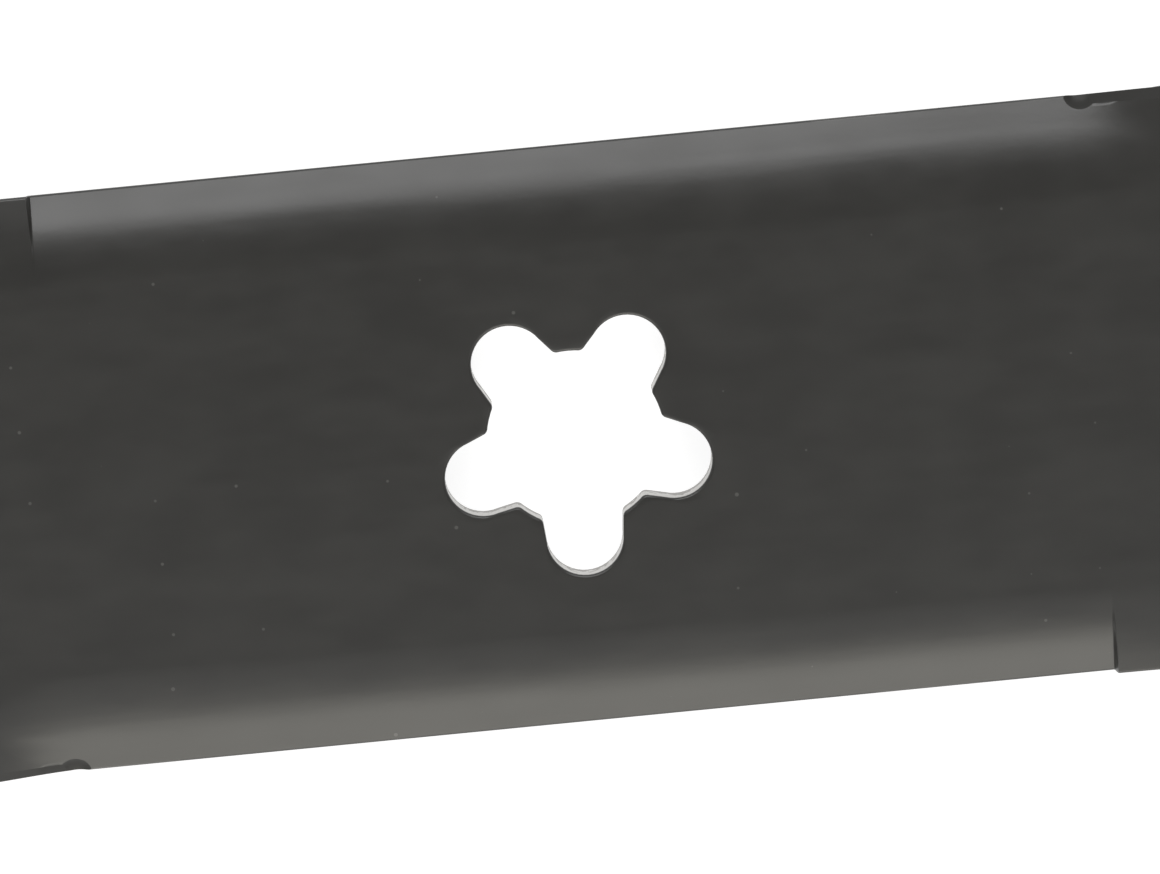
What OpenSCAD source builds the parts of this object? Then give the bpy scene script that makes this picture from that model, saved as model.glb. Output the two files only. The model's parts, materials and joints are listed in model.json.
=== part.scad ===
// Rotary mower blade, pressed from one piece of flat steel bar.
// The blade lies along X and turns clockwise seen from above, about Z through the star hole.
// Both long edges of the middle are turned down as stiffening flanges, and the blade rests on
// them at Z = 0. Outside the flanges the trailing edge of each arm rises into a lift wing and
// the leading edge is ground to a cutting edge.

/* [Bar] */
// Length of the blade from tip to tip
blade_length = 533.4; // [440:0.1:620]
// Width over the two flanges
blade_width = 63.5; // [58:0.1:76]
// Thickness of the steel
steel_thickness = 3.8; // [3:0.1:5]

/* [Star hole] */
// Diameter of the circle that the lobe centres lie on
lobe_circle_d = 21.7; // [18:0.1:26]
// Diameter of each lobe's round end
lobe_d = 8.3; // [6:0.1:10]
// Diameter of the circle between the lobes
star_root_d = 19.2; // [16:0.1:21]
// Angle that each flank of a lobe opens by towards the middle
lobe_flare = 5.5; // [2:0.5:10]

/* [Stiffening flanges] */
// Length of the flanged middle along the blade
flange_length = 112; // [80:1:150]
// Angle that each flange is turned down by
flange_angle = 25; // [15:1:35]
// Radius of the bend on the top face
flange_bend_radius = 18.3; // [10:0.1:20]
// Flat width of each flange beyond its bend, at mid-length
flange_lip = 3.2; // [2:0.1:5]
// How much nearer the edge the bend lies at a flange's leading end than at mid-length
flange_skew = 0.6; // [0:0.1:1]

/* [Leading lip] */
// Angle that the leading lip keeps just outside the flange
lead_angle = 14; // [5:1:15]
// Length of the step from the flange to the leading lip
lead_step = 0.8; // [0.5:0.1:3]
// Length over which the leading lip fades to flat
lead_fade = 40; // [20:1:60]

/* [Cutting edge] */
// Length of the ground edge, measured in from the tip
cutting_length = 150; // [80:1:155]
// Angle of the ground face to the blade's face
cutting_angle = 30; // [20:1:45]
// Thickness left at the edge below the ground face
cutting_land = 0.6; // [0.3:0.1:1.2]
// Diameter of the grinding wheel, which rounds the inner end
cutting_wheel_d = 150; // [80:1:250]

/* [Lift wing] */
// Length over which the flange fades into the wing
wing_fade = 17; // [8:0.5:30]
// Width of the turned-up strip where the wing starts
wing_start_width = 7; // [6:0.1:10]
// Width of the turned-up strip at the tip
wing_tip_width = 27; // [15:0.5:28]
// Angle of the wing where it starts
wing_start_angle = 3; // [1:0.5:10]
// Angle of the wing at the tip
wing_tip_angle = 32; // [20:1:45]
// Radius of the wing's bend on the top face
wing_bend_radius = 13; // [8:0.5:14]
// How much narrower the blank is along the wing
wing_trim = 0.4; // [0:0.1:2]
// Radius of the wing's corner at the tip
wing_corner_r = 9; // [4:0.5:15]
// Radius of the cutting edge's corner at the tip
lead_corner_r = 1.5; // [0.5:0.1:4]

/* [Hidden] */
$fn = 64;
lobes = 5;
first_lobe = -90;
bend_steps = 9;
wing_steps = 7;
fade_steps = 6;
arm_steps = 15;
arm_crowding = 1.35;
solver_steps = 5;
least_run = 0.3;
past = 1;

half_length = blade_length / 2;
half_flange = flange_length / 2;
flange_arc = arc_length(flange_bend_radius, flange_angle);
flat_half = blade_width / 2 - flange_bend_radius * sin(flange_angle) - flange_lip * cos(flange_angle);
half_blank = flat_half + flange_arc + flange_lip;
face_z = flange_depth(flange_lip, flange_angle);
cutting_rise = steel_thickness - cutting_land;
cutting_width = cutting_rise / sin(cutting_angle);
cutter_height = 4 * steel_thickness;
arm_start = half_flange + wing_fade;
arm_length = half_length - arm_start;

function arc_length(radius, angle) = radius * angle * PI / 180;
function ease(f) = let (c = min(max(f, 0), 1)) c * c * (3 - 2 * c);
function blend(a, b, f) = a + (b - a) * f;

// Depth of a flange's lower edge below the top face, and how fast it changes with the angle in radians
function flange_depth(lip, angle) =
    let (rad = angle * PI / 180)
    flange_arc * (1 - cos(angle)) / rad + lip * sin(angle) + steel_thickness * cos(angle);
function flange_depth_rate(lip, angle) =
    let (rad = angle * PI / 180)
    flange_arc * (sin(angle) / rad - (1 - cos(angle)) / pow(rad, 2)) + lip * cos(angle)
    - steel_thickness * sin(angle);

// Angle that keeps a flange's lower edge level with Z = 0 where its lip is wider or narrower
function level_angle(lip, angle = flange_angle, steps = solver_steps) =
    steps == 0
    ? angle
    : let (error = flange_depth(lip, angle) - face_z, turn = error / flange_depth_rate(lip, angle))
      level_angle(lip, angle - turn * 180 / PI, steps - 1);

// One side of a cross-section, as two bends of the top face from the middle line outwards:
// [start, developed length, tilt after it] of the first, then of the second, then the blank's half-width
function flange_side(skew) =
    let (
        root = flat_half + skew,
        bend_end = root + flange_arc,
        lip = flange_lip - skew,
        tilt = level_angle(lip)
    )
    [root, flange_arc, tilt, bend_end + least_run, lip - 2 * least_run, tilt, half_blank];

function lip_side(u) =
    let (side = flange_side(flange_skew), tilt = lead_angle * (1 - ease((u - half_flange) / lead_fade)))
    [side[0], side[1], tilt, side[3], side[4], tilt, half_blank];

function wing_side(from_start) =
    let (
        f = max(from_start / arm_length, 0),
        angle = blend(wing_start_angle, wing_tip_angle, ease(f)),
        edge = half_blank - wing_trim,
        foot = edge - blend(wing_start_width, wing_tip_width, f)
    )
    [foot - 2 * least_run, least_run, 0, foot, arc_length(wing_bend_radius, angle), -angle, edge];

function mix(a, b, f) = [for (i = [0:len(a) - 1]) blend(a[i], b[i], ease(f))];
function lead_side(u) =
    u <= half_flange
    ? flange_side(flange_skew * u / half_flange)
    : mix(flange_side(flange_skew), lip_side(u), (u - half_flange) / lead_step);
function trail_side(u) =
    u <= half_flange
    ? flange_side(-flange_skew * u / half_flange)
    : mix(flange_side(-flange_skew), wing_side(u - arm_start), (u - half_flange) / wing_fade);

// Points [y, z, tilt] on the top face through one bend that starts at p
function bend_points(p, arc, tilt, steps) =
    [for (i = 1, step = arc / steps, q = p; i <= steps + 1;
          a = blend(p[2], tilt, (i - 0.5) / steps),
          q = [q[0] + step * cos(a), q[1] - step * sin(a), blend(p[2], tilt, i / steps)],
          i = i + 1) if (i > 1) q];
function run(p, length) = [p[0] + length * cos(p[2]), p[1] - length * sin(p[2]), p[2]];

function side_points(s) =
    let (
        start = [s[0], 0, 0],
        first = bend_points(start, s[1], s[2], bend_steps),
        middle = run(first[bend_steps - 1], s[3] - s[0] - s[1]),
        second = bend_points(middle, s[4], s[5], wing_steps),
        edge = run(second[wing_steps - 1], s[6] - s[3] - s[4])
    )
    concat([start], first, [middle], second, [edge]);

function flip(points) = [for (i = [len(points) - 1:-1:0]) [-points[i][0], points[i][1], -points[i][2]]];
function section(x) =
    let (lead = side_points(lead_side(abs(x))), trail = side_points(trail_side(abs(x))))
    x > 0 ? concat(flip(lead), trail) : concat(flip(trail), lead);

// Places of the cross-sections along one arm, closer together near the flange
arm_places = concat(
    [half_flange],
    [for (i = [0:fade_steps - 1]) blend(half_flange + lead_step, arm_start, i / fade_steps)],
    [for (i = [0:arm_steps]) blend(arm_start, half_length, pow(i / arm_steps, arm_crowding))]);
last_place = len(arm_places) - 1;
places = concat([for (i = [last_place:-1:0]) -arm_places[i]], arm_places);

// Skin of the pressed bar: every cross-section's top face, then its underside one thickness below
module pressed_bar() {
    sections = [for (x = places) section(x)];
    across = len(sections[0]);
    ring = 2 * across;
    last = len(places) - 1;
    points = [for (i = [0:last]) each concat(
        [for (p = sections[i]) [places[i], p[0], p[1]]],
        [for (p = sections[i]) let (q = underside(p)) [places[i], q[0], q[1]]])];
    spans = [for (i = [0:last - 1], j = [0:across - 2]) [ring * i + j, ring * i + j + 1]];
    top = [for (s = spans) each quad(s[0], s[1], s[1] + ring, s[0] + ring)];
    bottom = [for (s = spans, a = [s[0] + across], b = [s[1] + across]) each quad(b, a, a + ring, b + ring)];
    edges = [for (i = [0:last - 1], r = [ring * i]) each concat(
        quad(r + across, r, r + ring, r + across + ring),
        quad(r + across - 1, r + ring - 1, r + 2 * ring - 1, r + across - 1 + ring))];
    ends = [for (j = [0:across - 2], e = [ring * last + j]) each concat(
        quad(j, j + across, j + across + 1, j + 1),
        quad(e, e + 1, e + across + 1, e + across))];
    polyhedron(points, concat(top, bottom, edges, ends));
}
function quad(a, b, c, d) = [[a, b, c], [a, c, d]];
function underside(p) = [p[0] - steel_thickness * sin(p[2]), p[1] - steel_thickness * cos(p[2])];

// Five-lobed hole that the spindle's star fits into
function flank_y(x) = lobe_d / 2 + (lobe_circle_d / 2 - x) * tan(lobe_flare);
module star_outline() {
    inner_x = star_root_d / 4;
    outer_x = lobe_circle_d / 2 + lobe_d / 2 * tan(lobe_flare);
    circle(d = star_root_d);
    for (i = [0:lobes - 1])
        rotate(first_lobe + i * 360 / lobes) {
            translate([lobe_circle_d / 2, 0])
                circle(d = lobe_d);
            polygon([
                [inner_x, -flank_y(inner_x)], [outer_x, -flank_y(outer_x)],
                [outer_x, flank_y(outer_x)], [inner_x, flank_y(inner_x)]]);
        }
}

// Stock taken off the leading edge of the arm on +X by a grinding wheel that lifts off at the inner end
module ground_face() {
    translate([half_length - cutting_length, -half_blank, cutting_land - steel_thickness])
        rotate([90 + cutting_angle, 0, 0])
            translate([0, 0, -cutting_width - past])
                linear_extrude(cutting_width + 2 * past) {
                    square([cutting_length + past, cutter_height]);
                    intersection() {
                        translate([0, cutting_wheel_d / 2])
                            circle(d = cutting_wheel_d);
                        translate([-cutting_wheel_d / 2, 0])
                            square([cutting_wheel_d / 2, cutter_height]);
                    }
                }
}

// Stock outside a rounded corner at the origin whose sides run to -X and -Y
module corner_waste(r) {
    translate([0, 0, -cutter_height])
        linear_extrude(2 * cutter_height)
            difference() {
                translate([-r, -r])
                    square(r + past);
                translate([-r, -r])
                    circle(r = r);
            }
}

// Both corners of the tip on +X, each cut square to the steel there
module tip_corners() {
    wing_edge = section(half_length)[2 * (bend_steps + wing_steps + 3) - 1];
    translate([half_length, wing_edge[0], wing_edge[1]])
        rotate([wing_tip_angle, 0, 0])
            corner_waste(wing_corner_r);
    translate([half_length, -half_blank, 0])
        mirror([0, 1, 0])
            corner_waste(lead_corner_r);
}

module blade() {
    color("dimgray")
        translate([0, 0, face_z])
            difference() {
                pressed_bar();
                translate([0, 0, -cutter_height])
                    linear_extrude(2 * cutter_height)
                        star_outline();
                for (turn = [0, 180])
                    rotate(turn) {
                        ground_face();
                        tip_corners();
                    }
            }
}

blade();
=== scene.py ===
"""Rotary mower blade: pressed and painted steel, seen close to its star hole.

The blade is made in the order that a press shop makes it. A flat blank is cut and pierced, its
edges are rounded, its leading edges are ground, and it is then pressed into its final shape.
The flat blank is drawn in millimetres. Pressing puts it in its place in metres.
"""

import json
import logging
import math
from dataclasses import dataclass, field
from enum import Enum

import bmesh
import bpy
from mathutils import Matrix, Vector

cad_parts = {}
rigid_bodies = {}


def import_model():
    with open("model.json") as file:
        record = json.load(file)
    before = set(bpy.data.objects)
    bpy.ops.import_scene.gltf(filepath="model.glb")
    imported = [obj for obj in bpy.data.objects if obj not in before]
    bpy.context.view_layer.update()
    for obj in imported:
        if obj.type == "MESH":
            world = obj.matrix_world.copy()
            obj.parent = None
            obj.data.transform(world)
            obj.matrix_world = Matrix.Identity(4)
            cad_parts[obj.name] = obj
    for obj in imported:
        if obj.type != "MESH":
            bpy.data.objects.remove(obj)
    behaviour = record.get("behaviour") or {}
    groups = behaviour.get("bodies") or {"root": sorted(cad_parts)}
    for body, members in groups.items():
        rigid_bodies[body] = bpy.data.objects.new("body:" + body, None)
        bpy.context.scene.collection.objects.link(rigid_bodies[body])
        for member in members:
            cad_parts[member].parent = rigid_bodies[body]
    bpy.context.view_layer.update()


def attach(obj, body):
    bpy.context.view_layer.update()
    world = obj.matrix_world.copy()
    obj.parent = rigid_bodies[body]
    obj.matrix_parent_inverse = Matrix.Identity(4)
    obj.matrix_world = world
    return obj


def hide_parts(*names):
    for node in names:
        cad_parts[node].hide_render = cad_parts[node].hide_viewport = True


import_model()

MM = 0.001
NEAR = 1e-3
STRAIGHT = 1e-9
WALL_SLOPE = 0.5
SHARP = math.radians(70)
SMOOTH = math.radians(27)
LOW_NOISE, HIGH_NOISE = 0.2, 0.8
WHITE = (1.0, 1.0, 1.0)
WARM = (1.0, 0.975, 0.90)
NODE = "blade"
BODY = "root"
PHOTO_WIDTH, PHOTO_HEIGHT = 1160, 874

Colour = tuple[float, float, float]
Socket = bpy.types.NodeSocket

log = logging.getLogger("mower_blade")


class Edge(Enum):
    """The two long edges of an arm, by the way that the blade turns."""

    LEADING = "leading"
    TRAILING = "trailing"


class Role(Enum):
    """What made a face, as the place of its finish in the blade's list of materials."""

    ROLLED = 0
    SHEARED = 1
    PUNCHED = 2
    ARRIS = 3
    GROUND = 4


def ease(f: float) -> float:
    """Go smoothly from 0 to 1 while f does, and stay there outside it."""
    c = min(max(f, 0.0), 1.0)
    return c * c * (3 - 2 * c)


def blend(a: float, b: float, f: float) -> float:
    """Go from a to b in a straight line while f goes from 0 to 1."""
    return a + (b - a) * f


def start_object(name: str) -> bpy.types.Object:
    """Name the primitive that was just added.

    Args:
        name: The object's new name, which its mesh takes too.

    Returns:
        The object.
    """
    piece = bpy.context.active_object
    piece.name = name
    piece.data.name = name
    return piece


def select_none() -> None:
    """Leave object mode with nothing selected."""
    bpy.ops.object.select_all(action="DESELECT")
    bpy.context.view_layer.objects.active = None


def make_active(piece: bpy.types.Object) -> None:
    """Select one object alone.

    Args:
        piece: The object that the next operators act on.
    """
    select_none()
    piece.select_set(True)
    bpy.context.view_layer.objects.active = piece


@dataclass(frozen=True)
class SidePress:
    """How one side of a cross-section is bent, as two bends of the top face from the middle outwards.

    Lengths are measured along the steel, in millimetres, and tilts are downwards, in degrees.
    """

    root: float
    first_arc: float
    first_tilt: float
    second_start: float
    second_arc: float
    second_tilt: float
    edge: float

    def mixed(self, other: "SidePress", f: float) -> "SidePress":
        """Blend into another press.

        Args:
            other: The press that this one turns into.
            f: How far, from 0 to 1.

        Returns:
            The press in between.
        """
        pairs = zip(vars(self).values(), vars(other).values())
        return SidePress(*(blend(a, b, ease(f)) for a, b in pairs))

    def place(self, reach: float, depth: float) -> tuple[float, float]:
        """Find where a point of the flat blank goes.

        Args:
            reach: Distance of the point from the middle line, on the flat blank.
            depth: Depth of the point below the top face.

        Returns:
            The point's distance from the middle line and its height above the flat top face.
        """
        y, z, tilt = min(reach, self.root), 0.0, 0.0
        first_end = self.root + self.first_arc
        second_end = self.second_start + self.second_arc
        spans = (
            (self.root, first_end, self.first_tilt),
            (first_end, self.second_start, self.first_tilt),
            (self.second_start, second_end, self.second_tilt),
            (second_end, math.inf, self.second_tilt),
        )
        for start, end, end_tilt in spans:
            if reach <= start:
                break
            run = min(reach, end) - start
            share = 1.0 if math.isinf(end) else run / (end - start)
            turn = math.radians(end_tilt - tilt) * share
            middle = math.radians(tilt) + turn / 2
            chord = run if abs(turn) < STRAIGHT else run * math.sin(turn / 2) / (turn / 2)
            y += chord * math.cos(middle)
            z -= chord * math.sin(middle)
            tilt = blend(tilt, end_tilt, share)
        tilt = math.radians(tilt)
        return y - depth * math.sin(tilt), z - depth * math.cos(tilt)

    def rows(self, first_steps: int, second_steps: int, rim: float) -> list[float]:
        """Space the blank's rows so that they follow the bends.

        Args:
            first_steps: Faces through the first bend.
            second_steps: Faces through the second bend.
            rim: Width of the last row of faces, which the edge is rounded in.

        Returns:
            Distances from the middle line, from the first bend outwards.
        """
        length = min(self.second_arc, self.edge - self.second_start - rim)
        first = [self.root + self.first_arc * i / first_steps for i in range(first_steps + 1)]
        second = [self.second_start + length * i / second_steps for i in range(second_steps + 1)]
        return [*first, *second, self.edge]


@dataclass(frozen=True)
class PressTool:
    """Shape that the press gives the blank: flanges in the middle, lips and wings on the arms.

    Lengths are in millimetres and angles in degrees. The values are the solid's, apart from a
    shorter step and a small trim at the leading lip, which follow the photograph's outline.
    """

    length: float = 533.4
    width: float = 63.5
    thickness: float = 3.8
    flange_length: float = 112.0
    flange_angle: float = 25.0
    flange_bend_radius: float = 18.3
    flange_lip: float = 3.2
    flange_skew: float = 0.6
    lead_angle: float = 14.0
    lead_step: float = 0.45
    lead_fade: float = 40.0
    lead_trim: float = 0.4
    wing_fade: float = 17.0
    wing_start_width: float = 7.0
    wing_tip_width: float = 27.0
    wing_start_angle: float = 3.0
    wing_tip_angle: float = 32.0
    wing_bend_radius: float = 13.0
    wing_trim: float = 0.4
    least_run: float = 0.3
    solver_steps: int = 5

    @property
    def half_length(self) -> float:
        """Distance from the spindle axis to a tip."""
        return self.length / 2

    @property
    def half_flange(self) -> float:
        """Distance from the spindle axis to a flange's end."""
        return self.flange_length / 2

    @property
    def flange_arc(self) -> float:
        """Length of steel in a flange's bend."""
        return self.flange_bend_radius * math.radians(self.flange_angle)

    @property
    def flat_half(self) -> float:
        """Distance from the middle line to a flange's bend, at mid-length."""
        angle = math.radians(self.flange_angle)
        bend = self.flange_bend_radius * math.sin(angle) + self.flange_lip * math.cos(angle)
        return self.width / 2 - bend

    @property
    def half_blank(self) -> float:
        """Half the width of the flat blank."""
        return self.flat_half + self.flange_arc + self.flange_lip

    @property
    def face_height(self) -> float:
        """Height of the flat top face above the surface that the flanges rest on."""
        return self.flange_depth(self.flange_lip, math.radians(self.flange_angle))

    def flange_depth(self, lip: float, angle: float) -> float:
        """Depth of a flange's lower edge below the top face.

        Args:
            lip: Flat width beyond the bend.
            angle: Angle of the flange in radians.

        Returns:
            The depth in millimetres.
        """
        bend = self.flange_arc * (1 - math.cos(angle)) / angle
        return bend + lip * math.sin(angle) + self.thickness * math.cos(angle)

    def level_angle(self, lip: float) -> float:
        """Angle that keeps a flange's lower edge on the rest surface.

        Args:
            lip: Flat width beyond the bend.

        Returns:
            The angle in degrees.
        """
        angle, small = math.radians(self.flange_angle), 1e-4
        for _ in range(self.solver_steps):
            depth = self.flange_depth(lip, angle)
            rate = (self.flange_depth(lip, angle + small) - depth) / small
            angle -= (depth - self.face_height) / rate
        return math.degrees(angle)

    def flange(self, skew: float) -> SidePress:
        """Press of a flange.

        Args:
            skew: How much nearer the edge the bend lies than at mid-length.

        Returns:
            The press of that side.
        """
        root = self.flat_half + skew
        lip = self.flange_lip - skew
        tilt = self.level_angle(lip)
        start = root + self.flange_arc + self.least_run
        return SidePress(
            root, self.flange_arc, tilt, start, lip - 2 * self.least_run, tilt, self.half_blank)

    def lip(self, along: float) -> SidePress:
        """Press of the leading lip, which fades to flat along the arm.

        Args:
            along: Distance from the spindle axis.

        Returns:
            The press of that side.
        """
        flange = self.flange(self.flange_skew)
        tilt = self.lead_angle * (1 - ease((along - self.half_flange) / self.lead_fade))
        return SidePress(
            flange.root, flange.first_arc, tilt, flange.second_start, flange.second_arc, tilt,
            self.half_blank - self.lead_trim)

    def wing(self, along: float) -> SidePress:
        """Press of the lift wing, which grows towards the tip.

        Args:
            along: Distance from the spindle axis.

        Returns:
            The press of that side.
        """
        start = self.half_flange + self.wing_fade
        f = max((along - start) / (self.half_length - start), 0.0)
        angle = blend(self.wing_start_angle, self.wing_tip_angle, ease(f))
        edge = self.half_blank - self.wing_trim
        foot = edge - blend(self.wing_start_width, self.wing_tip_width, f)
        arc = self.wing_bend_radius * math.radians(angle)
        return SidePress(foot - 2 * self.least_run, self.least_run, 0.0, foot, arc, -angle, edge)

    def side(self, edge: Edge, along: float) -> SidePress:
        """Press of one side at one place.

        Args:
            edge: Which edge of the arm the side ends in.
            along: Distance from the spindle axis.

        Returns:
            The press of that side.
        """
        beyond = along - self.half_flange
        turned = self.flange_skew if edge is Edge.LEADING else -self.flange_skew
        if beyond <= 0:
            return self.flange(turned * along / self.half_flange)
        if edge is Edge.LEADING:
            return self.flange(turned).mixed(self.lip(along), beyond / self.lead_step)
        return self.flange(turned).mixed(self.wing(along), beyond / self.wing_fade)

    def side_at(self, x: float, y: float) -> SidePress:
        """Press of the side that a point of the blank is on.

        Args:
            x: Place of the point along the blade.
            y: Place of the point across it, where only the sign counts.

        Returns:
            The press of that side.
        """
        return self.side(Edge.LEADING if x * y < 0 else Edge.TRAILING, abs(x))


class NodeSheet:
    """A node tree that takes nodes one by one."""

    def __init__(self, tree: bpy.types.NodeTree) -> None:
        """Start on a tree.

        Args:
            tree: The tree of a material or of a node group.
        """
        self.tree = tree

    def feed(self, socket: Socket, value: Socket | float | tuple[float, ...]) -> None:
        """Give a socket its value.

        Args:
            socket: The input.
            value: The output to link to it, or a plain number or colour.
        """
        if isinstance(value, Socket):
            self.tree.links.new(value, socket)
        else:
            socket.default_value = value

    def math(self, operation: str, first: Socket | float, second: Socket | float) -> Socket:
        """Work out one value from two.

        Args:
            operation: The sum to do.
            first: An output or a number.
            second: An output or a number.

        Returns:
            The result's output.
        """
        node = self.tree.nodes.new("ShaderNodeMath")
        node.operation = operation
        self.feed(node.inputs[0], first)
        self.feed(node.inputs[1], second)
        return node.outputs[0]

    def spread(self, value: Socket, low: float, high: float) -> Socket:
        """Spread a noise between two ends.

        Args:
            value: The noise, which hardly leaves the range from LOW_NOISE to HIGH_NOISE.
            low: Result where the noise is low.
            high: Result where the noise is high.

        Returns:
            The result's output.
        """
        node = self.tree.nodes.new("ShaderNodeMapRange")
        node.interpolation_type = "SMOOTHSTEP"
        self.feed(node.inputs["Value"], value)
        node.inputs["From Min"].default_value = LOW_NOISE
        node.inputs["From Max"].default_value = HIGH_NOISE
        node.inputs["To Min"].default_value = low
        node.inputs["To Max"].default_value = high
        return node.outputs[0]

    def mix(self, mask: Socket, first: Socket | Colour, second: Socket | Colour) -> Socket:
        """Mix two colours.

        Args:
            mask: Output that is 0 for the first colour and 1 for the second.
            first: An output or a colour.
            second: An output or a colour.

        Returns:
            The mixed colour's output.
        """
        node = self.tree.nodes.new("ShaderNodeMix")
        node.data_type = "RGBA"
        self.feed(node.inputs["Factor"], mask)
        for socket, colour in zip(node.inputs[6:8], (first, second)):
            self.feed(socket, colour if isinstance(colour, Socket) else (*colour, 1))
        return node.outputs[2]

    def bump(self, height: Socket) -> Socket:
        """Turn a height in metres into a normal.

        Args:
            height: The height's output.

        Returns:
            The normal's output.
        """
        node = self.tree.nodes.new("ShaderNodeBump")
        node.inputs["Strength"].default_value = 1
        node.inputs["Distance"].default_value = 1
        self.feed(node.inputs["Height"], height)
        return node.outputs["Normal"]

    def effect(self, group: bpy.types.NodeTree, *values: float) -> Socket:
        """Place a node group.

        Args:
            group: The group.
            values: Its inputs, in order.

        Returns:
            The group's first output.
        """
        node = self.tree.nodes.new("ShaderNodeGroup")
        node.node_tree = group
        for socket, value in zip(node.inputs, values):
            socket.default_value = value
        return node.outputs[0]


class Effects:
    """Node groups that the finishes share."""

    @staticmethod
    def new_group(
        name: str, inputs: tuple[str, ...], output: str,
    ) -> tuple[NodeSheet, list[Socket], Socket]:
        """Start a group with plain values in and one value out.

        Args:
            name: Name of the group.
            inputs: Names of its inputs.
            output: Name of its output.

        Returns:
            The group's sheet, its inputs' outputs and its output's input.
        """
        group = bpy.data.node_groups.new(name, "ShaderNodeTree")
        for label in inputs:
            group.interface.new_socket(label, in_out="INPUT", socket_type="NodeSocketFloat")
        group.interface.new_socket(output, in_out="OUTPUT", socket_type="NodeSocketFloat")
        given = group.nodes.new("NodeGroupInput")
        result = group.nodes.new("NodeGroupOutput")
        return NodeSheet(group), list(given.outputs), result.inputs[output]

    @staticmethod
    def grain() -> bpy.types.NodeTree:
        """Noise of a given number of grains per metre, drawn out along the blade.

        Returns:
            The group, with Scale, Length and Detail in and Value out.
        """
        known = bpy.data.node_groups.get("grain")
        if known:
            return known
        sheet, given, result = Effects.new_group("grain", ("Scale", "Length", "Detail"), "Value")
        nodes = sheet.tree.nodes
        place = nodes.new("ShaderNodeTexCoord")
        drawn = nodes.new("ShaderNodeCombineXYZ")
        scaled = nodes.new("ShaderNodeVectorMath")
        noise = nodes.new("ShaderNodeTexNoise")
        scaled.operation = "MULTIPLY"
        noise.inputs["Scale"].default_value = 1
        sheet.feed(drawn.inputs["X"], sheet.math("DIVIDE", given[0], given[1]))
        sheet.feed(drawn.inputs["Y"], given[0])
        sheet.feed(drawn.inputs["Z"], given[0])
        sheet.feed(scaled.inputs[0], place.outputs["Object"])
        sheet.feed(scaled.inputs[1], drawn.outputs[0])
        sheet.feed(noise.inputs["Vector"], scaled.outputs[0])
        sheet.feed(noise.inputs["Detail"], given[2])
        sheet.feed(result, noise.outputs[0])
        return sheet.tree

    @staticmethod
    def specks() -> bpy.types.NodeTree:
        """Sparse round specks, as of dust in paint.

        Returns:
            The group, with Scale, Size and Share in and Mask out.
        """
        known = bpy.data.node_groups.get("specks")
        if known:
            return known
        sheet, given, result = Effects.new_group("specks", ("Scale", "Size", "Share"), "Mask")
        nodes = sheet.tree.nodes
        place = nodes.new("ShaderNodeTexCoord")
        cells = nodes.new("ShaderNodeTexVoronoi")
        parts = nodes.new("ShaderNodeSeparateColor")
        cells.voronoi_dimensions = "2D"
        sheet.feed(cells.inputs["Vector"], place.outputs["Object"])
        sheet.feed(cells.inputs["Scale"], given[0])
        sheet.feed(parts.inputs["Color"], cells.outputs["Color"])
        size = sheet.math("MULTIPLY", sheet.math("MULTIPLY", given[0], given[1]), parts.outputs["Green"])
        near = sheet.math("LESS_THAN", cells.outputs["Distance"], size)
        chosen = sheet.math("LESS_THAN", parts.outputs["Red"], given[2])
        sheet.feed(result, sheet.math("MULTIPLY", near, chosen))
        return sheet.tree


@dataclass(frozen=True)
class Paint:
    """Dark grey satin paint, with dust in it, that follows the marks in the steel below it.

    Scales are grains per metre, depths are in metres, and the wear is the share of bare places.
    """

    name: str
    colour: Colour = (0.0285, 0.028, 0.026)
    mottle: float = 0.10
    mottle_scale: float = 240.0
    mottle_length: float = 2.0
    mottle_detail: float = 2.0
    roughness: float = 0.315
    roughness_spread: float = 0.03
    specular: float = 0.5
    lines_scale: float = 420.0
    lines_length: float = 14.0
    lines_depth: float = 0.00002
    lines_detail: float = 1.0
    peel_scale: float = 1500.0
    peel_length: float = 1.0
    peel_detail: float = 1.0
    peel_depth: float = 0.000006
    dust_colour: Colour = (0.075, 0.074, 0.070)
    dust_scale: float = 130.0
    dust_size: float = 0.00022
    dust_share: float = 0.4
    worn_colour: Colour = (0.070, 0.069, 0.065)
    wear: float = 0.0

    def material(self) -> bpy.types.Material:
        """Build the material.

        Returns:
            The finished material.
        """
        material = bpy.data.materials.new(self.name)
        material.use_nodes = True
        sheet = NodeSheet(material.node_tree)
        shader = sheet.tree.nodes["Principled BSDF"]
        grain = Effects.grain()
        cloud = sheet.effect(grain, self.mottle_scale, self.mottle_length, self.mottle_detail)
        lines = sheet.effect(grain, self.lines_scale, self.lines_length, self.lines_detail)
        peel = sheet.effect(grain, self.peel_scale, self.peel_length, self.peel_detail)
        dust = sheet.effect(Effects.specks(), self.dust_scale, self.dust_size, self.dust_share)
        dark = tuple(part * (1 - self.mottle) for part in self.colour)
        light = tuple(part * (1 + self.mottle) for part in self.colour)
        colour = sheet.mix(sheet.spread(cloud, 0, 1), dark, light)
        colour = sheet.mix(dust, colour, self.dust_colour)
        if self.wear > 0:
            bare = sheet.math("GREATER_THAN", sheet.spread(lines, 0, 1), 1 - self.wear)
            colour = sheet.mix(bare, colour, self.worn_colour)
        low, high = self.roughness - self.roughness_spread, self.roughness + self.roughness_spread
        height = sheet.math(
            "ADD",
            sheet.math("MULTIPLY", lines, self.lines_depth),
            sheet.math("MULTIPLY", peel, self.peel_depth))
        sheet.feed(shader.inputs["Base Color"], colour)
        sheet.feed(shader.inputs["Roughness"], sheet.spread(cloud, low, high))
        sheet.feed(shader.inputs["Normal"], sheet.bump(height))
        shader.inputs["Specular IOR Level"].default_value = self.specular
        return material


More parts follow.
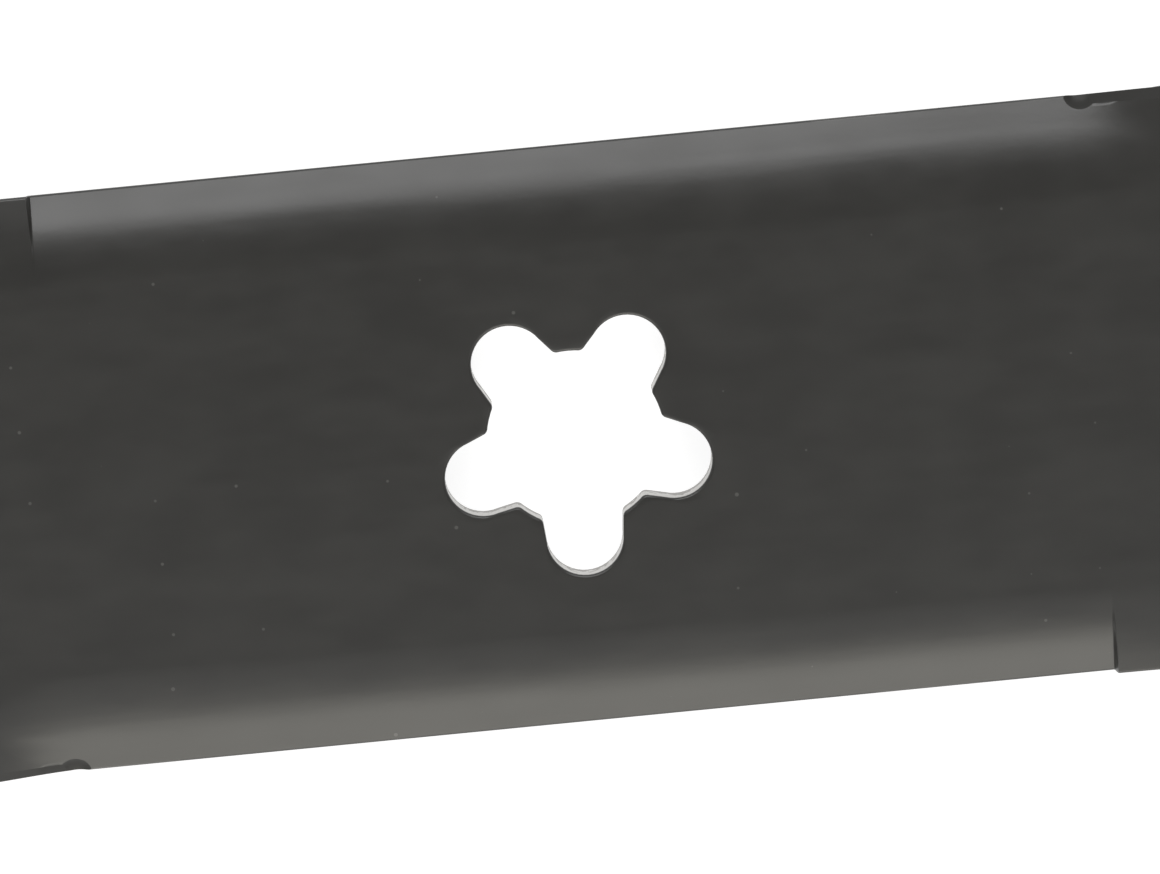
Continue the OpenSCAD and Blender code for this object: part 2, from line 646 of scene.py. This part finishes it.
@dataclass(frozen=True)
class PunchedSteel:
    """Bare wall of a punched hole: bright where the punch burnished it, and torn below that.

    Scales are grains per metre and lengths are in metres.
    """

    name: str
    burnished: Colour = (0.47, 0.46, 0.44)
    torn: Colour = (0.36, 0.35, 0.335)
    tear_height: float = 0.0042
    tear_spread: float = 0.0012
    roughness: float = 0.32
    torn_roughness: float = 0.55
    drag_scale: float = 1400.0
    drag_length: float = 1.0
    drag_detail: float = 2.0
    drag_depth: float = 0.00003
    metal: float = 0.85

    def material(self) -> bpy.types.Material:
        """Build the material.

        Returns:
            The finished material.
        """
        material = bpy.data.materials.new(self.name)
        material.use_nodes = True
        sheet = NodeSheet(material.node_tree)
        shader = sheet.tree.nodes["Principled BSDF"]
        drag = sheet.effect(
            Effects.grain(), self.drag_scale, self.drag_length, self.drag_detail)
        place = sheet.tree.nodes.new("ShaderNodeTexCoord")
        parts = sheet.tree.nodes.new("ShaderNodeSeparateXYZ")
        sheet.feed(parts.inputs[0], place.outputs["Object"])
        wander = sheet.spread(drag, -self.tear_spread, self.tear_spread)
        line = sheet.math("ADD", wander, self.tear_height)
        tear = sheet.math("LESS_THAN", parts.outputs["Z"], line)
        height = sheet.math("MULTIPLY", drag, self.drag_depth)
        rise = self.torn_roughness - self.roughness
        rough = sheet.math("ADD", sheet.math("MULTIPLY", tear, rise), self.roughness)
        sheet.feed(shader.inputs["Base Color"], sheet.mix(tear, self.burnished, self.torn))
        sheet.feed(shader.inputs["Roughness"], rough)
        sheet.feed(shader.inputs["Normal"], sheet.bump(height))
        shader.inputs["Metallic"].default_value = self.metal
        return material


FINISHES: dict[Role, Paint | PunchedSteel] = {
    Role.ROLLED: Paint("satin_paint"),
    Role.SHEARED: Paint("edge_paint", roughness=0.42, specular=0.2, lines_length=1.0),
    Role.PUNCHED: PunchedSteel("punched_steel"),
    Role.ARRIS: Paint("arris_paint", wear=0.2),
    Role.GROUND: Paint("ground_paint", lines_scale=2600, lines_length=40, lines_depth=0.00002),
}


@dataclass
class Blade:
    """The blade, from the flat blank to the pressed and painted piece. Lengths are in millimetres."""

    press: PressTool = field(default_factory=PressTool)
    name: str = "mower_blade"
    lobe_circle_d: float = 21.7
    lobe_d: float = 8.3
    star_root_d: float = 19.2
    lobe_flare: float = 5.5
    lobes: int = 5
    first_lobe: float = -90.0
    punch_corner_r: float = 0.35
    star_collar: float = 1.10
    seat_r: float = 18.5
    star_panel: float = 24.0
    cutting_length: float = 150.0
    cutting_angle: float = 30.0
    cutting_land: float = 0.6
    cutting_wheel_d: float = 150.0
    wheel_past: float = 2.0
    wheel_overrun: float = 5.0
    edge_break: float = 1.25
    edge_break_start: float = 1.5
    edge_break_margin: float = 0.1
    edge_break_angle: float = 45.0
    scoop_r: float = 3.2
    scoop_depth: float = 0.58
    scoop_clear: float = 0.05
    wing_corner_r: float = 9.0
    lead_corner_r: float = 1.5
    arris_r: float = 0.35
    middle_places: tuple[float, ...] = (34.0, 45.0)
    step_rows: int = 8
    fade_rows: int = 16
    arm_rows: int = 26
    arm_crowding: float = 1.2
    tip_row: float = 1.0
    first_steps: int = 16
    second_steps: int = 10
    rim_width: float = 1.6
    arris_steps: int = 4
    wing_corner_steps: int = 12
    lead_corner_steps: int = 5
    punch_corner_steps: int = 3
    scoop_steps: int = 64
    lobe_steps: int = 24
    root_steps: int = 4
    wheel_steps: int = 256

    def stations(self) -> list[float]:
        """Places along the blade where the blank has a line of points across it.

        Returns:
            Distances from the spindle axis, from one tip to the other.
        """
        start = self.press.half_flange
        step_end = start + self.press.lead_step
        arm_start = start + self.press.wing_fade
        tip = self.press.half_length
        last = tip - self.wing_corner_r - self.tip_row
        step = [blend(start, step_end, i / self.step_rows) for i in range(self.step_rows)]
        fade = [blend(step_end, arm_start, i / self.fade_rows) for i in range(self.fade_rows)]
        shares = [(i / self.arm_rows) ** self.arm_crowding for i in range(self.arm_rows + 1)]
        arm = [blend(arm_start, last, share) for share in shares]
        one_arm = [self.star_panel, *self.middle_places, *step, *fade, *arm, tip]
        return [*(-x for x in reversed(one_arm)), *one_arm]

    def cut_blank(self) -> bpy.types.Object:
        """Cut the flat blank as one layer of faces at the height of the top face.

        Returns:
            The blank, with rounded corners at its tips.
        """
        places = self.stations()
        across = 2 * (self.first_steps + self.second_steps + 3)
        select_none()
        bpy.ops.mesh.primitive_grid_add(
            x_subdivisions=len(places) - 1, y_subdivisions=across - 1, size=2)
        blank = start_object(self.name)
        for vertex in blank.data.vertices:
            column = round((vertex.co.x + 1) / 2 * (len(places) - 1))
            row = round((vertex.co.y + 1) / 2 * (across - 1))
            sign = -1 if row < across // 2 else 1
            side = self.press.side_at(places[column], sign)
            rows = side.rows(self.first_steps, self.second_steps, self.rim_width)
            reach = rows[row - across // 2] if sign > 0 else rows[across // 2 - 1 - row]
            vertex.co = (places[column], sign * reach, 0)
        bpy.ops.object.mode_set(mode="EDIT")
        self.round_tip(blank, Edge.TRAILING, self.wing_corner_r, self.wing_corner_steps)
        self.round_tip(blank, Edge.LEADING, self.lead_corner_r, self.lead_corner_steps)
        bpy.ops.object.mode_set(mode="OBJECT")
        return blank

    def round_tip(self, blank: bpy.types.Object, edge: Edge, radius: float, steps: int) -> None:
        """Round the corner that one edge makes with each tip.

        Args:
            blank: The flat blank, in edit mode.
            edge: Which edge of the arms.
            radius: Radius of the corner.
            steps: Straight lengths in the corner.
        """
        tip = self.press.half_length
        reach = self.press.side(edge, tip).edge
        side = -1 if edge is Edge.LEADING else 1
        corners = [Vector((end * tip, end * side * reach, 0)) for end in (-1, 1)]
        bpy.ops.mesh.select_all(action="DESELECT")
        bpy.ops.mesh.select_mode(type="VERT")
        mesh = bmesh.from_edit_mesh(blank.data)
        for vertex in mesh.verts:
            vertex.select_set(any((vertex.co - corner).length < NEAR for corner in corners))
        bmesh.update_edit_mesh(blank.data)
        bpy.ops.mesh.bevel(offset=radius, segments=steps, affect="VERTICES", clamp_overlap=False)

    def star_outline(self) -> list[Vector]:
        """Outline of the star hole, lobe by lobe.

        Returns:
            Points round the hole, anticlockwise from the root before the first lobe.
        """
        radius, centre, root = self.lobe_d / 2, self.lobe_circle_d / 2, self.star_root_d / 2
        slope = math.tan(math.radians(self.lobe_flare))
        a, b = 1 + slope ** 2, slope * (radius + centre * slope)
        c = (radius + centre * slope) ** 2 - root ** 2
        corner_x = (b + math.sqrt(b ** 2 - a * c)) / a
        corner = math.atan2(radius + (centre - corner_x) * slope, corner_x)
        pitch = 2 * math.pi / self.lobes
        points = []
        for lobe in range(self.lobes):
            turn = Matrix.Rotation(math.radians(self.first_lobe) + lobe * pitch, 2)
            points.append(turn @ Vector((root * math.cos(corner), -root * math.sin(corner))))
            for i in range(self.lobe_steps + 1):
                angle = math.pi * (i / self.lobe_steps - 0.5)
                local = Vector((centre + radius * math.cos(angle), radius * math.sin(angle)))
                points.append(turn @ local)
            for i in range(self.root_steps):
                angle = blend(corner, pitch - corner, i / self.root_steps)
                points.append(turn @ Vector((root * math.cos(angle), root * math.sin(angle))))
        return points

    def pierce_star(self, blank: bpy.types.Object) -> None:
        """Pierce the star hole through the middle panel of the blank.

        Args:
            blank: The flat blank.
        """
        outline = self.star_outline()
        make_active(blank)
        bpy.ops.object.mode_set(mode="EDIT")
        bpy.ops.mesh.select_mode(type="FACE")
        bpy.ops.mesh.select_all(action="DESELECT")
        mesh = bmesh.from_edit_mesh(blank.data)
        for face in mesh.faces:
            face.select_set(face.calc_center_median().length < NEAR)
        panel = [v.co.copy() for f in mesh.faces if f.select for v in f.verts]
        bmesh.update_edit_mesh(blank.data)
        bpy.ops.mesh.delete(type="ONLY_FACE")
        bpy.ops.mesh.select_mode(type="VERT")
        bpy.ops.mesh.select_all(action="DESELECT")
        bpy.ops.mesh.primitive_circle_add(vertices=len(outline), radius=1, fill_type="NOTHING")
        mesh = bmesh.from_edit_mesh(blank.data)
        loop = [vertex for vertex in mesh.verts if vertex.select]
        per_lobe = len(outline) // self.lobes
        for i, (vertex, point) in enumerate(zip(loop, outline, strict=True)):
            vertex.co = point.to_3d()
            vertex.select_set(i % per_lobe in (0, self.lobe_steps + 2))
        bmesh.update_edit_mesh(blank.data)
        bpy.ops.mesh.bevel(
            offset=self.punch_corner_r, segments=self.punch_corner_steps, affect="VERTICES")
        bpy.ops.mesh.select_linked()
        bpy.ops.mesh.select_mode(type="EDGE")
        bpy.ops.mesh.extrude_edges_move()
        collar = (self.star_collar, self.star_collar, 1)
        bpy.ops.transform.resize(value=collar, center_override=(0, 0, 0))
        bpy.ops.mesh.extrude_edges_move()
        mesh = bmesh.from_edit_mesh(blank.data)
        for vertex in mesh.verts:
            if vertex.select:
                vertex.co = vertex.co.normalized() * self.seat_r
        bmesh.update_edit_mesh(blank.data)
        mesh = bmesh.from_edit_mesh(blank.data)
        for edge in mesh.edges:
            ends = [v.co for v in edge.verts]
            if all(any((end - corner).length < NEAR for corner in panel) for end in ends):
                edge.select_set(True)
        bmesh.update_edit_mesh(blank.data)
        bpy.ops.mesh.fill(use_beauty=True)
        bpy.ops.object.mode_set(mode="OBJECT")

    def thicken(self, blank: bpy.types.Object) -> None:
        """Give the blank its thickness, break its trailing edges and round all its edges.

        Args:
            blank: The flat blank, one layer of faces.
        """
        make_active(blank)
        bpy.ops.object.mode_set(mode="EDIT")
        bpy.ops.mesh.select_mode(type="FACE")
        bpy.ops.mesh.select_all(action="SELECT")
        bpy.ops.mesh.extrude_region_move(
            TRANSFORM_OT_translate={"value": (0, 0, -self.press.thickness)})
        bpy.ops.mesh.select_all(action="SELECT")
        bpy.ops.mesh.normals_make_consistent(inside=False)
        bpy.ops.mesh.select_mode(type="EDGE")
        self.mark_walls(blank)
        self.break_edges(blank)
        self.lean_break(blank)
        self.round_edges(blank)
        bpy.ops.object.mode_set(mode="OBJECT")

    def mark_walls(self, blank: bpy.types.Object) -> None:
        """Give the walls of the blank and of the star hole their finishes.

        Args:
            blank: The flat blank with its thickness, in edit mode.
        """
        mesh = bmesh.from_edit_mesh(blank.data)
        for face in mesh.faces:
            if abs(face.normal.z) < WALL_SLOPE:
                outer = face.calc_center_median().length > self.seat_r
                face.material_index = (Role.SHEARED if outer else Role.PUNCHED).value
        bmesh.update_edit_mesh(blank.data)

    def break_edges(self, blank: bpy.types.Object) -> None:
        """Cut a narrow facet along the top of both trailing edges.

        Args:
            blank: The flat blank with its thickness, in edit mode.
        """
        bpy.ops.mesh.select_all(action="DESELECT")
        mesh = bmesh.from_edit_mesh(blank.data)
        for edge in mesh.edges:
            edge.select_set(self.is_broken(edge))
        bmesh.update_edit_mesh(blank.data)
        bpy.ops.mesh.bevel(
            offset=self.edge_break, segments=1, affect="EDGES", material=Role.SHEARED.value,
            clamp_overlap=False)

    def round_edges(self, blank: bpy.types.Object) -> None:
        """Round all sharp edges. Those of the star hole keep the paint of the faces.

        Args:
            blank: The flat blank with its thickness, in edit mode.
        """
        bpy.ops.mesh.select_all(action="DESELECT")
        bpy.ops.mesh.edges_select_sharp(sharpness=SHARP)
        bpy.ops.mesh.bevel(
            offset=self.arris_r, segments=self.arris_steps, affect="EDGES", material=Role.ARRIS.value,
            clamp_overlap=False)
        mesh = bmesh.from_edit_mesh(blank.data)
        for face in mesh.faces:
            inner = face.calc_center_median().length < self.seat_r
            if inner and face.material_index == Role.ARRIS.value:
                face.material_index = Role.ROLLED.value
        bmesh.update_edit_mesh(blank.data)

    def lean_break(self, blank: bpy.types.Object) -> None:
        """Give the broken edge one angle to the ground, whatever the angle of the steel under it.

        Args:
            blank: The flat blank with its thickness, in edit mode.
        """
        mesh = bmesh.from_edit_mesh(blank.data)
        for vertex in mesh.verts:
            x, y, z = vertex.co
            if abs(z + self.edge_break) < NEAR and x * y > 0:
                tilt = max(self.press.side_at(x, y).second_tilt, 0.0)
                angle = math.radians(self.edge_break_angle - tilt)
                vertex.co.z = -self.edge_break * math.tan(angle)
        bmesh.update_edit_mesh(blank.data)

    def is_broken(self, edge: bmesh.types.BMEdge) -> bool:
        """Tell whether an edge is on the top of a trailing edge, beyond the flange's end.

        Args:
            edge: An edge of the blank with its thickness.

        Returns:
            True where the edge is broken.
        """
        start = self.press.half_flange + self.edge_break_start - self.edge_break_margin
        end = self.press.half_length - self.wing_corner_r - self.tip_row / 2
        ends = [vertex.co for vertex in edge.verts]
        trailing = all(p.z > -NEAR and p.x * p.y > 0 and start < abs(p.x) < end for p in ends)
        return trailing and edge.calc_face_angle(0) > SHARP

    def cut_both_arms(self, blank: bpy.types.Object, tool: bpy.types.Object, role: Role) -> None:
        """Take a tool's shape off one arm, turn the tool half round and do the other.

        Args:
            blank: The flat blank with its thickness.
            tool: The tool in its place on the arm on +X, which is used up.
            role: What the cut faces are.
        """
        tool.data.materials.append(blank.data.materials[role.value])
        for _ in range(2):
            make_active(blank)
            cut = blank.modifiers.new("cut", "BOOLEAN")
            cut.object = tool
            cut.operation = "DIFFERENCE"
            cut.solver = "EXACT"
            cut.material_mode = "TRANSFER"
            bpy.ops.object.modifier_apply(modifier=cut.name)
            tool.data.transform(Matrix.Rotation(math.pi, 4, "Z"))
        bpy.data.objects.remove(tool)

    def scoop(self, blank: bpy.types.Object) -> None:
        """Round the inner end of both broken edges with a small scoop.

        Args:
            blank: The flat blank with its thickness.
        """
        select_none()
        bpy.ops.mesh.primitive_uv_sphere_add(
            segments=self.scoop_steps, ring_count=self.scoop_steps // 2, radius=self.scoop_r)
        ball = start_object("scoop")
        along = self.press.half_flange + self.edge_break_start
        reach = self.press.side(Edge.TRAILING, along).edge + self.scoop_clear
        lift = self.scoop_r - self.scoop_depth
        poles_along = Matrix.Rotation(math.pi / 2, 4, "Y")
        ball.data.transform(Matrix.Translation((along, reach, lift)) @ poles_along)
        self.cut_both_arms(blank, ball, Role.SHEARED)

    def grind(self, blank: bpy.types.Object) -> None:
        """Grind both leading edges with a wheel that lifts off before it reaches the flange.

        Args:
            blank: The flat blank with its thickness.
        """
        radius = self.cutting_wheel_d / 2
        start = self.press.half_length - self.cutting_length
        angle = math.radians(self.cutting_angle)
        rise = self.press.thickness - self.cutting_land
        run = rise / math.tan(angle)
        select_none()
        bpy.ops.mesh.primitive_cylinder_add(
            vertices=self.wheel_steps, radius=radius, depth=2 * (run + self.wheel_past),
            location=(0, 0, 0))
        wheel = start_object("grinding_wheel")
        stand = Matrix.Translation((start, -self.press.half_blank, -rise))
        lean = Matrix.Rotation(math.pi / 2 + angle, 4, "X")
        wheel.data.transform(stand @ lean @ Matrix.Translation((0, radius, 0)))
        bpy.ops.object.mode_set(mode="EDIT")
        bpy.ops.mesh.select_mode(type="VERT")
        bpy.ops.mesh.select_all(action="DESELECT")
        mesh = bmesh.from_edit_mesh(wheel.data)
        for vertex in mesh.verts:
            vertex.select_set(vertex.co.x > start + NEAR)
        bmesh.update_edit_mesh(wheel.data)
        bpy.ops.transform.translate(value=(self.cutting_length + self.wheel_overrun, 0, 0))
        bpy.ops.mesh.select_all(action="SELECT")
        bpy.ops.mesh.normals_make_consistent(inside=False)
        bpy.ops.object.mode_set(mode="OBJECT")
        self.cut_both_arms(blank, wheel, Role.GROUND)

    def press_shape(self, blank: bpy.types.Object) -> None:
        """Press the flat blank into shape and put it in its place.

        Args:
            blank: The flat blank, pierced, rounded and ground, in millimetres.
        """
        for vertex in blank.data.vertices:
            x, y, z = vertex.co
            side = self.press.side_at(x, y)
            reach, height = side.place(abs(y), -z)
            place = Vector((x, math.copysign(reach, y), height + self.press.face_height))
            vertex.co = place * MM
        make_active(blank)
        bpy.ops.object.shade_smooth_by_angle(angle=SMOOTH)
        weighted = blank.modifiers.new("face_weights", "WEIGHTED_NORMAL")
        weighted.keep_sharp = True
        bpy.ops.object.modifier_apply(modifier=weighted.name)

    def build(self) -> bpy.types.Object:
        """Make the blade's mesh.

        Returns:
            The pressed blade, at its place in the frame.
        """
        blank = self.cut_blank()
        for role in Role:
            blank.data.materials.append(FINISHES[role].material())
        self.pierce_star(blank)
        self.thicken(blank)
        self.grind(blank)
        self.scoop(blank)
        self.press_shape(blank)
        return blank

    def dress(self, blade: bpy.types.Object) -> None:
        """Put the blade in the CAD node's place.

        Args:
            blade: The pressed blade.
        """
        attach(blade, BODY)
        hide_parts(NODE)


@dataclass(frozen=True)
class SoftBox:
    """A soft box that faces the star hole. Lengths are in metres.

    It leans from straight above the blade towards +Y by an angle in degrees, and a brightness
    of 1 is that of a white surface in full light.
    """

    name: str
    lean: float
    distance: float
    width: float
    height: float
    brightness: float
    tint: Colour = WHITE


@dataclass
class Studio:
    """Plain white floor, four soft boxes and a long lens over the star hole. Lengths are in metres."""

    view_from: Vector = field(default_factory=lambda: Vector((-0.012, 0.165, 0.986)))
    roll: float = 5.47
    frame_width: float = 0.1251
    lens: float = 300.0
    sensor: float = 36.0
    star_pixel: tuple[float, float] = (575.9, 438.9)
    floor_radius: float = 9.0
    floor_steps: int = 96
    floor_shade: float = 0.30
    floor_glow: float = 0.90
    wall_height: float = 3.0
    view_end: float = 100.0
    air: float = 0.25
    boxes: tuple[SoftBox, ...] = (
        SoftBox("far_box", lean=48.5, distance=0.9, width=1.0, height=0.42, brightness=4.5),
        SoftBox("near_box", lean=-63, distance=0.9, width=1.0, height=0.42, brightness=3.5, tint=WARM),
        SoftBox("middle_box", lean=-46, distance=0.6, width=0.8, height=0.12, brightness=1.6, tint=WARM),
        SoftBox("over_box", lean=-27, distance=0.42, width=0.6, height=0.21, brightness=0.68),
    )

    def place_camera(self, target: Vector) -> None:
        """Put the camera at the photograph's angle.

        Args:
            target: Middle of the star hole on the top face.
        """
        back = self.view_from.normalized()
        along = Vector((1, 0, 0))
        right = (along - along.dot(back) * back).normalized()
        up = back.cross(right)
        turn = math.radians(self.roll)
        right, up = (
            math.cos(turn) * right - math.sin(turn) * up,
            math.sin(turn) * right + math.cos(turn) * up,
        )
        pixel = self.frame_width / PHOTO_WIDTH
        shift_x = (PHOTO_WIDTH / 2 - self.star_pixel[0]) * pixel
        shift_y = (self.star_pixel[1] - PHOTO_HEIGHT / 2) * pixel
        distance = self.frame_width * self.lens / self.sensor
        camera = bpy.data.cameras.new("camera")
        camera.lens = self.lens
        camera.sensor_width = self.sensor
        camera.clip_end = self.view_end
        eye = bpy.data.objects.new("camera", camera)
        place = target + back * distance + right * shift_x + up * shift_y
        eye.matrix_world = Matrix((
            (right.x, up.x, back.x, place.x),
            (right.y, up.y, back.y, place.y),
            (right.z, up.z, back.z, place.z),
            (0, 0, 0, 1),
        ))
        bpy.context.scene.collection.objects.link(eye)
        bpy.context.scene.camera = eye

    def lay_floor(self) -> None:
        """Lay a round floor that turns up into a wall far outside the object."""
        select_none()
        bpy.ops.mesh.primitive_circle_add(
            vertices=self.floor_steps, radius=self.floor_radius, fill_type="NGON")
        floor = start_object("studio_floor")
        bpy.ops.object.mode_set(mode="EDIT")
        bpy.ops.mesh.select_mode(type="EDGE")
        bpy.ops.mesh.select_all(action="SELECT")
        bpy.ops.mesh.region_to_loop()
        bpy.ops.mesh.extrude_edges_move(
            TRANSFORM_OT_translate={"value": (0, 0, self.wall_height)})
        bpy.ops.object.mode_set(mode="OBJECT")
        floor.data.materials.append(self.floor_material())

    def floor_material(self) -> bpy.types.Material:
        """White floor that keeps a faint shadow.

        Returns:
            The floor's material.
        """
        material = bpy.data.materials.new("studio_white")
        material.use_nodes = True
        tree = material.node_tree
        tree.nodes.clear()
        output = tree.nodes.new("ShaderNodeOutputMaterial")
        matt = tree.nodes.new("ShaderNodeBsdfDiffuse")
        glow = tree.nodes.new("ShaderNodeEmission")
        total = tree.nodes.new("ShaderNodeAddShader")
        path = tree.nodes.new("ShaderNodeLightPath")
        seen = tree.nodes.new("ShaderNodeMath")
        seen_any = tree.nodes.new("ShaderNodeMath")
        level = tree.nodes.new("ShaderNodeMath")
        shade = self.floor_shade
        matt.inputs["Color"].default_value = (shade, shade, shade, 1)
        seen.operation = "MAXIMUM"
        seen_any.operation = "MAXIMUM"
        level.operation = "MULTIPLY"
        level.inputs[1].default_value = self.floor_glow
        links = tree.links
        links.new(path.outputs["Is Camera Ray"], seen.inputs[0])
        links.new(path.outputs["Is Glossy Ray"], seen.inputs[1])
        links.new(seen.outputs[0], seen_any.inputs[0])
        links.new(path.outputs["Is Transmission Ray"], seen_any.inputs[1])
        links.new(seen_any.outputs[0], level.inputs[0])
        links.new(level.outputs[0], glow.inputs["Strength"])
        links.new(matt.outputs[0], total.inputs[0])
        links.new(glow.outputs[0], total.inputs[1])
        links.new(total.outputs[0], output.inputs["Surface"])
        return material

    def hang_box(self, box: SoftBox) -> None:
        """Hang one soft box.

        Args:
            box: Its place, size and brightness.
        """
        lamp = bpy.data.lights.new(box.name, "AREA")
        lamp.shape = "RECTANGLE"
        lamp.size, lamp.size_y = box.width, box.height
        lamp.energy = box.brightness * math.pi * box.width * box.height
        lamp.color = box.tint
        hung = bpy.data.objects.new(box.name, lamp)
        lean = math.radians(box.lean)
        hung.location = (0, math.sin(lean) * box.distance, math.cos(lean) * box.distance)
        hung.rotation_euler = (-lean, 0, 0)
        hung.visible_camera = False
        bpy.context.scene.collection.objects.link(hung)

    def light(self) -> None:
        """Light the blade from both long sides, and dimly from all round."""
        world = bpy.data.worlds.new("studio_air")
        world.use_nodes = True
        air = world.node_tree.nodes["Background"]
        air.inputs["Color"].default_value = (*WHITE, 1)
        air.inputs["Strength"].default_value = self.air
        bpy.context.scene.world = world
        for box in self.boxes:
            self.hang_box(box)


def main() -> None:
    """Build the blade, its studio and the camera."""
    logging.basicConfig(level=logging.INFO, format="%(name)s: %(message)s")
    bpy.context.scene.view_settings.view_transform = "Standard"
    blade = Blade()
    piece = blade.build()
    blade.dress(piece)
    log.info("%s: %d faces", piece.name, len(piece.data.polygons))
    studio = Studio()
    studio.place_camera(Vector((0, 0, blade.press.face_height * MM)))
    studio.lay_floor()
    studio.light()
    log.info("studio: camera, floor and soft boxes")


if __name__ == "__main__":
    main()
